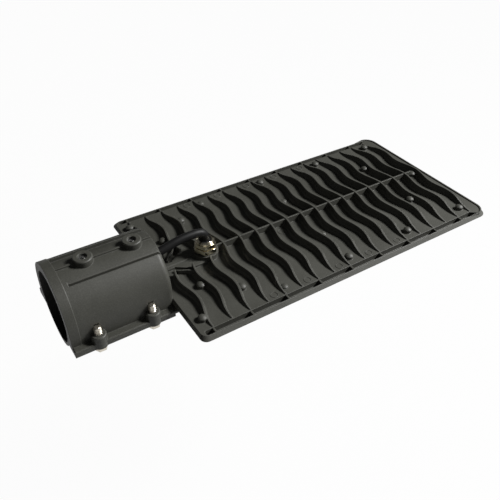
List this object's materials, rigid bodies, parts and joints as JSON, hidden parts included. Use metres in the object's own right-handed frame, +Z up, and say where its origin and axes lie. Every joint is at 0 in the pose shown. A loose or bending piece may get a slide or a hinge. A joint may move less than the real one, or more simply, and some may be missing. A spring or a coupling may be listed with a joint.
{
  "type": "led street light head",
  "caption": "Finned die-cast street light head with a split pole socket, wavy cooling fins, a cable gland and a lens plate underneath.",
  "frame": {"origin": "on the pole's axis at the mouth of the socket", "axes": "+X from the mouth along the head, -X the way the pole leaves, +Z up, fins up and lamps down, symmetric about Y = 0"},
  "size_m": [0.4315, 0.1864, 0.0749],
  "materials": {
    "casting": "fine textured powder coat",
    "zinc": "zinc plated",
    "steel": "bright steel",
    "nickel": "bright nickel plate",
    "seal": "matt",
    "sheath": "matt cable sheath",
    "brown_core": "satin insulation",
    "blue_core": "satin insulation",
    "earth_core": "satin insulation",
    "terminal": "tinned brass",
    "board": "white solder mask",
    "pad": "soft grey heat sheet",
    "led": "yellow phosphor",
    "chip": "moulded epoxy",
    "varistor": "coated ceramic",
    "fuse": "ceramic tube",
    "block": "moulded",
    "lens": "clear moulded polycarbonate",
    "gasket": "translucent silicone"
  },
  "bodies": {
    "root": {"housing": "casting", "pole_clamp": "casting", "clamp_bolts": "zinc", "set_screws": "steel", "gland_body": "nickel", "gland_o_ring": "seal", "gland_seal": "seal", "gland_nut": "nickel", "power_cable": "sheath", "live_lead": "brown_core", "neutral_lead": "blue_core", "earth_lead": "earth_core", "earth_terminal": "terminal", "earth_screw": "steel", "thermal_pad": "pad", "led_board": "board", "led_chips": "led", "driver_chips": "chip", "bridge_rectifier": "chip", "varistor": "varistor", "fuse": "fuse", "terminal_block": "block", "board_screws": "steel", "lens_plate": "lens", "lens_gasket": "gasket", "lens_frame": "casting", "frame_screws": "steel"}
  },
  "joints": []
}
